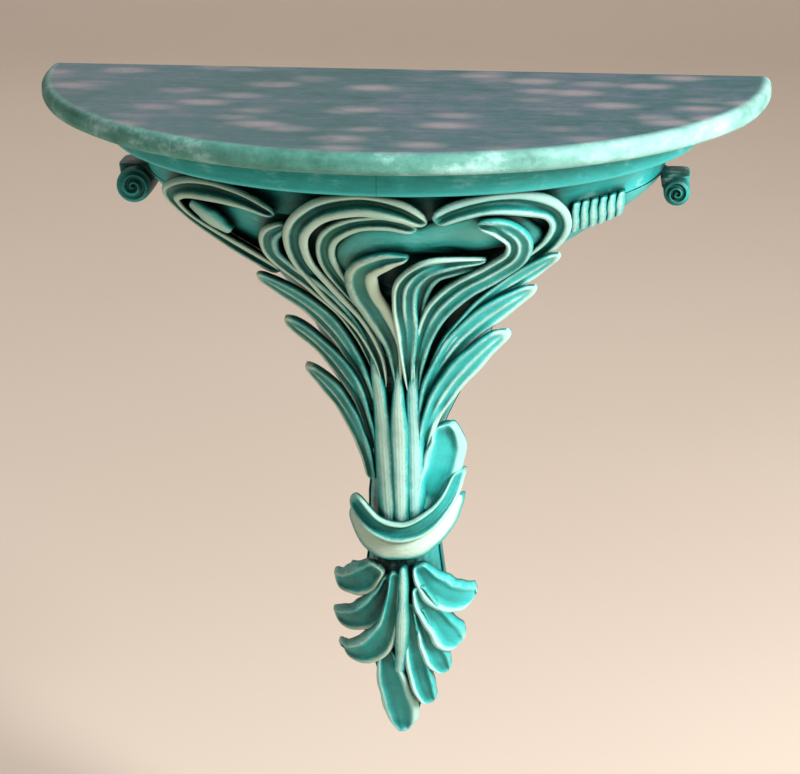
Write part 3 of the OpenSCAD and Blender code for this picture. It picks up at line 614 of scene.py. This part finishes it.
class PaintSettings(bpy.types.PropertyGroup):
    """Colours of the paint and the wood"""
    # painted shade: near-black teal put in recesses and tight corners where shade falls; on the back board's
    # front it is also plain dark paint
    recess_shade_and_dark_paint: colour_property("Painted recess shade and dark paint", (0.002, 0.040, 0.036))
    deep_teal: colour_property("Deep teal", (0.005, 0.150, 0.130))
    teal: colour_property("Teal", (0.012, 0.340, 0.330))
    green: colour_property("Green paint under the cream", (0.030, 0.210, 0.130))
    turquoise: colour_property("Turquoise", (0.035, 0.540, 0.550))
    pale: colour_property("Pale highlight", (0.440, 0.760, 0.730))
    cream: colour_property("Cream highlight", (0.520, 0.640, 0.480))
    board_dark: colour_property("Dark sponging on the board", (0.018, 0.080, 0.085))
    board_teal: colour_property("Board teal", (0.044, 0.118, 0.135))
    board_grey: colour_property("Board grey", (0.110, 0.138, 0.190))
    blotch: colour_property("Pale blotches", (0.330, 0.285, 0.305))
    edge_green: colour_property("Edge green", (0.040, 0.190, 0.145))
    edge_teal: colour_property("Edge teal", (0.110, 0.350, 0.300))
    wood_light: colour_property("Light wood", (0.480, 0.320, 0.170))
    wood_dark: colour_property("Dark wood", (0.230, 0.130, 0.060))
    wood_grey: colour_property("Aged wood", (0.270, 0.220, 0.170))


# the floor, in metres: its gap under the bracket, flat part, bend into the backdrop, height and half width
FLOOR_GAP, FLOOR_FLAT, FLOOR_BEND, FLOOR_HIGH, FLOOR_HALF = 0.16, 3.0, 1.5, 5.5, 9.0
# each lamp's place, aim, width, power and colour
LAMPS = {
    "window_right": ((1.9, -1.15, 1.15), (0.05, -0.08, -0.14), 1.1, 120.0, (1.0, 0.98, 0.95)),
    "soft_front": ((-0.6, -2.6, 1.6), (0.0, -0.05, -0.15), 1.8, 9.0, (0.93, 0.97, 1.0)),
    "soft_left": ((-2.3, -0.4, 0.4), (0.0, 0.0, -0.15), 1.6, 1.0, (1.0, 0.90, 0.82)),
    "soft_behind": ((-1.2, 2.4, 2.2), (0.0, 0.0, -0.15), 2.0, 26.0, (1.0, 0.96, 0.92)),
}
ROOM_COLOUR, ROOM_STRENGTH = (0.90, 0.80, 0.72, 1.0), 0.2
# the camera's place, its turn to the right and dip in degrees, its lens and sensor in millimetres
CAMERA_SPOT = (0.1407, -1.5332, TOP_Z + 0.3188)
CAMERA_TURN, CAMERA_DIP, CAMERA_LENS, CAMERA_SENSOR = 5.39, 18.74, 115.7, 36.0


class BRACKET_OT_stage(bpy.types.Operator):
    """Adds the floor, the backdrop, the lights, the surroundings and the camera"""
    bl_idname = "bracket.stage"
    bl_label = "Stage"

    def execute(self, context):
        scene = context.scene
        scene.view_settings.view_transform = "Standard"
        floor_z = CAD_BOX[0][2] - FLOOR_GAP
        t = np.linspace(0, np.pi / 2, 24)
        bend = np.stack([FLOOR_FLAT + FLOOR_BEND * np.sin(t), floor_z + FLOOR_BEND * (1 - np.cos(t))], axis=-1)
        back = np.concatenate([bend, [[FLOOR_FLAT + FLOOR_BEND, floor_z + FLOOR_HIGH]]])
        line = np.concatenate([back[::-1] * [-1.6, 1.0], back])
        verts = [(x, y, z) for y, z in line.tolist() for x in (-FLOOR_HALF, FLOOR_HALF)]
        faces = [(2 * i, 2 * i + 1, 2 * i + 3, 2 * i + 2) for i in range(len(line) - 1)]
        mesh = bpy.data.meshes.new("floor")
        mesh.from_pydata(verts, [], faces)
        mesh.polygons.foreach_set("use_smooth", np.ones(len(faces), bool))
        floor = bpy.data.objects.new("floor", mesh)
        scene.collection.objects.link(floor)
        p = Paint("pale_floor")
        cloud = p.noise(1.5, 4.0, 0.5)
        mesh.materials.append(p.done(Base_Color=p.mix(cloud, (0.74, 0.63, 0.54), (0.80, 0.70, 0.61)),
                                     Roughness=(0.7 + cloud * 0.15).clamp()))
        for name, (spot, aim, size, power, colour) in LAMPS.items():
            data = bpy.data.lights.new(name, "AREA")
            data.shape, data.size, data.energy, data.color = "DISK", size, power, colour
            lamp = bpy.data.objects.new(name, data)
            scene.collection.objects.link(lamp)
            lamp.matrix_world = look_from(spot, np.array(spot) - np.array(aim))
        world = bpy.data.worlds.new("room")
        scene.world = world
        world.use_nodes = True
        room = world.node_tree.nodes["Background"].inputs
        room["Color"].default_value, room["Strength"].default_value = ROOM_COLOUR, ROOM_STRENGTH
        turn, dip = np.radians(CAMERA_TURN), np.radians(CAMERA_DIP)
        back = np.array([np.sin(turn) * np.cos(dip), -np.cos(turn) * np.cos(dip), np.sin(dip)])
        data = bpy.data.cameras.new("camera")
        data.lens, data.sensor_width, data.clip_start = CAMERA_LENS, CAMERA_SENSOR, 0.05
        camera = bpy.data.objects.new("camera", data)
        scene.collection.objects.link(camera)
        camera.matrix_world = look_from(CAMERA_SPOT, back)
        scene.camera = camera
        return {"FINISHED"}


def look_from(spot, back):
    """A place for a lamp or the camera: its back points along the given way, and its side stays level."""
    back = np.asarray(back, float) / np.linalg.norm(back)
    side = np.cross([0.0, 0.0, 1.0], back)
    side /= np.linalg.norm(side)
    up = np.cross(back, side)
    rows = np.eye(4)
    rows[:3, 0], rows[:3, 1], rows[:3, 2], rows[:3, 3] = side, up, back, spot
    return Matrix(rows.tolist())


def half_turn(profile, count, uneven=0.0, from_angle=0.0, to_angle=np.pi):
    """A closed profile of (radius, height) points carried round the front from one angle to another."""
    angle = np.linspace(from_angle, to_angle, count)[:, None]
    r, z = profile[None, :, 0], profile[None, :, 1]
    outer = r / profile[:, 0].max()
    wave = uneven * (np.sin(7 * angle) + np.sin(17 * angle + 1) * 0.6) * outer**8
    x, y = (r + wave) * np.cos(angle), -(r + wave) * np.sin(angle)
    return np.stack([x, y, z + 0 * angle], axis=-1)


class BRACKET_OT_board(bpy.types.Operator):
    """Adds the half-round board with its rounded edge"""
    bl_idname = "bracket.board"
    bl_label = "Board"

    def execute(self, context):
        size, paint = context.scene.bracket, context.scene.bracket_paint
        e, low = size.edge_round, TOP_Z - BOARD_T
        a = np.linspace(0, np.pi / 2, 9)
        reach = BOARD_R - SKIN
        upper = np.stack([reach - e + e * np.sin(a), TOP_Z - e + e * np.cos(a)], axis=-1)
        lower = np.stack([reach - e + e * np.cos(a), low + e - e * np.sin(a)], axis=-1)
        inner = np.array([[reach * k, TOP_Z] for k in (0.002, 0.3, 0.6, 0.85)])
        inner_low = np.array([[reach * k, low] for k in (0.85, 0.6, 0.3, 0.002)])
        profile = np.concatenate([inner, upper, lower, inner_low])
        Mesh().tube(half_turn(profile, 181, 0.35 * MM)).finish(
            "board", board_paint("sponged_board", paint), "top_board", sharp=35)
        return {"FINISHED"}


class BRACKET_OT_canopy(bpy.types.Operator):
    """Adds the two quarters of the cove moulding under the board"""
    bl_idname = "bracket.canopy"
    bl_label = "Canopy"

    def execute(self, context):
        paint = context.scene.bracket_paint
        # 0.5 is the canopy's level of painted light and shade
        material = plain_carved("canopy_paint", paint, 0.5)
        low, high, out = CANOPY_LOW[2], CANOPY_HIGH[2], CANOPY_R
        a, lip = np.linspace(0, np.pi / 2, 14), np.linspace(0, np.pi / 2, 7)
        cove = [out - 4 * MM - COVE_R * np.cos(a), low + COVE_R * np.sin(a)]
        lip_low = [out - 3 * MM + 3 * MM * np.sin(lip), low + COVE_R + 3 * MM - 3 * MM * np.cos(lip)]
        lip_high = [out - 2 * MM + 2 * MM * np.cos(lip), high - 2 * MM + 2 * MM * np.sin(lip)]
        sections = [np.stack(part, axis=-1) for part in (cove, lip_low, lip_high)]
        profile = np.concatenate([[[10 * MM, low]], *sections, [[10 * MM, high]]])[::-1]
        wall = np.arcsin((BACK_T + 0.2 * MM) / out)
        for name, start, end in (("canopy_left", np.pi / 2 + SEAM, np.pi - wall),
                                 ("canopy_right", wall, np.pi / 2 - SEAM)):
            grid = half_turn(profile, 90, 0.2 * MM, start, end)
            Mesh().tube(grid).finish(name + "_carved", material, name, sharp=35)
        return {"FINISHED"}


def scroll_block(sign, width, height, eye, top, out):
    """An end block: a squarish column, and a volute on its front.

    The column's rings are rounded squares that shrink towards both ends. The volute is a domed disc of the
    eye's radius, whose face carries one spiral ridge, with a rim that runs back to the wall side.
    """
    work = Mesh()
    v = np.linspace(0, 1, 40)[:, None]
    u = np.linspace(0, 2 * np.pi, 48, endpoint=False)[None, :]
    half_x, half_y = width / 2 * (0.94 + 0.06 * np.cos(np.pi * v)), 13 * MM
    grow = np.clip(np.sqrt(1 - (2 * np.clip(v, 0.02, 0.98) - 1) ** 12), 0.2, 1)
    c, s = np.cos(u), np.sin(u)
    x = sign * (out - width / 2) + half_x * grow * np.sign(c) * np.abs(c) ** 0.4
    y = -23 * MM + half_y * grow * np.sign(s) * np.abs(s) ** 0.4
    z = top - 0.2 * MM - (height - eye) * v + 0 * u
    work.tube(np.stack([x, y, z], axis=-1))
    face, rim = 40, 16
    r = np.concatenate([np.linspace(0.02, 1, face), np.ones(rim)])[:, None]
    depth = np.concatenate([np.zeros(face), np.linspace(0, 1, rim)])[:, None]
    w = np.linspace(0, 2 * np.pi, 72, endpoint=False)[None, :]
    spiral = np.cos(2 * np.pi * (2.4 * r**0.8) - sign * w)
    front = -(42 + 2.6 * (1 - r**2)) * MM - 1.1 * MM * spiral * np.clip(3 * (1 - r), 0, 1)
    edge = np.clip(1 - np.abs(depth - 0.5) * 2, 0, 1) ** 0.3
    y = front * (1 - depth) - (BACK_T + SKIN) * depth
    rr = eye * r * np.where(depth > 0, 0.95 + 0.05 * edge, 0.95)
    x = sign * (out - eye) + rr * np.cos(w)
    z = top - height + eye + rr * np.sin(w)
    return work.tube(np.stack([x, y, z], axis=-1))


class BRACKET_OT_ends(bpy.types.Operator):
    """Adds the carved end blocks with their volutes, and the strip of short flutes"""
    bl_idname = "bracket.ends"
    bl_label = "End blocks and flutes"

    def execute(self, context):
        size, paint = context.scene.bracket, context.scene.bracket_paint
        # painted shade: 0.1 paints both end blocks much darker than the canopy
        material = plain_carved("block_paint", paint, 0.1)
        out = CANOPY_R - 8 * MM
        for name, sign, width, height, eye in (("drop_block_left", -1, 24 * MM, 24 * MM, 11 * MM),
                                               ("drop_block_right", 1, 18 * MM, 18 * MM, 8 * MM)):
            work = scroll_block(sign, width, height, eye, CANOPY_LOW[2], out)
            work.finish(name + "_carved", material, name, sharp=50)
        work = Mesh()
        for i in range(6):
            x = 107 + 5 * i
            rows = [[x + 1, 49, 1.6, 4.5], [x, 56, 2.0, 5], [x, 66, 2.0, 5], [x - 1, 73, 1.6, 4.5]]
            points, values = leaf_rings(rows, -3, 0, size, along=24, across=16, seed=i)
            work.tube(points, **values)
        # the flutes sit on the right and are painted as lit, light 0.9
        work.finish("flute_strip_carved", carved_paint("flute_paint", paint, 0.8, 0.9), "flute_strip")
        return {"FINISHED"}


class BRACKET_OT_core(bpy.types.Operator):
    """Adds the two carved blocks behind the leaves: fluted half ellipses, flat against the back board"""
    bl_idname = "bracket.core"
    bl_label = "Core"

    def execute(self, context):
        # painted shade: 0.35 paints the core darker than the canopy, for the shade between the leaves
        material = plain_carved("core_paint", context.scene.bracket_paint, 0.35)
        for name, start, end in (("core_upper", 53.3, 189.8), ("core_lower", 190.0, 435.6)):
            down = np.linspace(start, end, int((end - start) / 2))[:, None]
            turn = np.linspace(-np.pi / 2, np.pi / 2, 97)[None, :]
            fuller = 0.28 * np.clip((250 - down) / 60, 0, 1)
            block, form = np.interp(down, FORM_DOWN, CORE_WIDE), np.interp(down, FORM_DOWN, FORM_WIDE)
            a = block * (1 - fuller) + form * fuller - 0.8
            b = np.interp(down, FORM_DOWN, FORM_DEEP) - 0.8
            flutes = 0.7 * np.cos(26 * turn) * np.clip((down - 60) / 60, 0, 1)
            front = np.minimum(-(b + flutes) * np.cos(turn), -10.3)
            grid = np.stack([a * np.sin(turn), front, TOP_Z / MM - down + 0 * turn], axis=-1) * MM
            Mesh().tube(grid).finish(name + "_carved", material, name, sharp=50)
        return {"FINISHED"}


def add_leaves(context, names):
    """Makes one piece for each named leaf, with its own share of cream and its own level of painted light and
    shade in the carving's paint.
    """
    size, paint = context.scene.bracket, context.scene.bracket_paint
    for name in names:
        rows, rise, lean, cream, light = LEAVES[name]
        head = 0.3 if name in FINE_HEAD else 0.16 if name.startswith("drop_") else 0.07
        foot = 0.35 if name in FINE_FOOT else 0.07
        points, values = leaf_rings(
            rows, rise, lean, size, seed=float(len(name) + rows[0][0]), head=head, foot=foot,
            ridges=3 if name in THREE_RIDGES else 2, rim=0.8 if name in THIN_RIMS else 0.58)
        material = carved_paint(name + "_paint", paint, cream, light)
        Mesh().tube(points, **values).finish(name + "_carved", material, name)


class BRACKET_OT_leaves_left(bpy.types.Operator):
    """Adds the scrolls, the plume and the fronds left of the centre"""
    bl_idname = "bracket.leaves_left"
    bl_label = "Left leaves"

    def execute(self, context):
        add_leaves(context, UPPER_LEFT)
        return {"FINISHED"}


class BRACKET_OT_leaves_right(bpy.types.Operator):
    """Adds the main leaf, the plume, the scroll and the fronds right of the centre"""
    bl_idname = "bracket.leaves_right"
    bl_label = "Right leaves"

    def execute(self, context):
        add_leaves(context, UPPER_RIGHT)
        return {"FINISHED"}


class BRACKET_OT_stem(bpy.types.Operator):
    """Adds the ribs of the stem and the collar's cup, rim and band"""
    bl_idname = "bracket.stem"
    bl_label = "Stem and collar"

    def execute(self, context):
        add_leaves(context, STEM)
        return {"FINISHED"}


class BRACKET_OT_pendant(bpy.types.Operator):
    """Adds the leaf drops, the midrib and the last lobe of the pendant"""
    bl_idname = "bracket.pendant"
    bl_label = "Pendant"

    def execute(self, context):
        add_leaves(context, PENDANT)
        return {"FINISHED"}


class BRACKET_OT_fixings(bpy.types.Operator):
    """Gives the back board, the dowels, the hanger plates and the screws their finishes"""
    bl_idname = "bracket.fixings"
    bl_label = "Back board and fixings"

    def execute(self, context):
        paint = context.scene.bracket_paint
        brass = metal("brassed_plate", (0.62, 0.43, 0.16), (0.20, 0.12, 0.05), 0.28)
        steel = metal("plated_screw", (0.55, 0.55, 0.56), (0.16, 0.14, 0.12), 0.3)
        finishes = {"back_board": raw_wood("painted_board", paint, painted=True),
                    "dowels": raw_wood("bare_wood", paint),
                    "keyhole_plate_left": brass, "keyhole_plate_right": brass,
                    "plate_screws": steel, "back_screws": steel}
        for name, material in finishes.items():
            node = bpy.data.objects[name]
            node.data.materials.clear()
            node.data.materials.append(material)
        return {"FINISHED"}


OPERATORS = [BRACKET_OT_stage, BRACKET_OT_board, BRACKET_OT_canopy, BRACKET_OT_ends, BRACKET_OT_core,
             BRACKET_OT_leaves_left, BRACKET_OT_leaves_right, BRACKET_OT_stem, BRACKET_OT_pendant,
             BRACKET_OT_fixings]


class BRACKET_PT_panel(bpy.types.Panel):
    """The bracket's sizes and colours, and a button for each of its groups"""
    bl_label = "Acanthus Wall Bracket"
    bl_idname = "BRACKET_PT_panel"
    bl_space_type = "VIEW_3D"
    bl_region_type = "UI"
    bl_category = "Bracket"

    def draw(self, context):
        column = self.layout.column()
        for group in (context.scene.bracket, context.scene.bracket_paint):
            for name in type(group).__annotations__:
                column.prop(group, name)
        for operator in OPERATORS:
            column.operator(operator.bl_idname)


CLASSES = [BracketSettings, PaintSettings, *OPERATORS, BRACKET_PT_panel]


def register():
    """Registers the settings, the operators and the panel."""
    for cls in CLASSES:
        bpy.utils.register_class(cls)
    bpy.types.Scene.bracket = bpy.props.PointerProperty(type=BracketSettings)
    bpy.types.Scene.bracket_paint = bpy.props.PointerProperty(type=PaintSettings)


def unregister():
    """Takes them away again."""
    del bpy.types.Scene.bracket_paint
    del bpy.types.Scene.bracket
    for cls in reversed(CLASSES):
        bpy.utils.unregister_class(cls)


def main():
    """Registers the add-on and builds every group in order."""
    register()
    for operator in OPERATORS:
        group, name = operator.bl_idname.split(".")
        getattr(getattr(bpy.ops, group), name)()


if __name__ == "__main__":
    main()
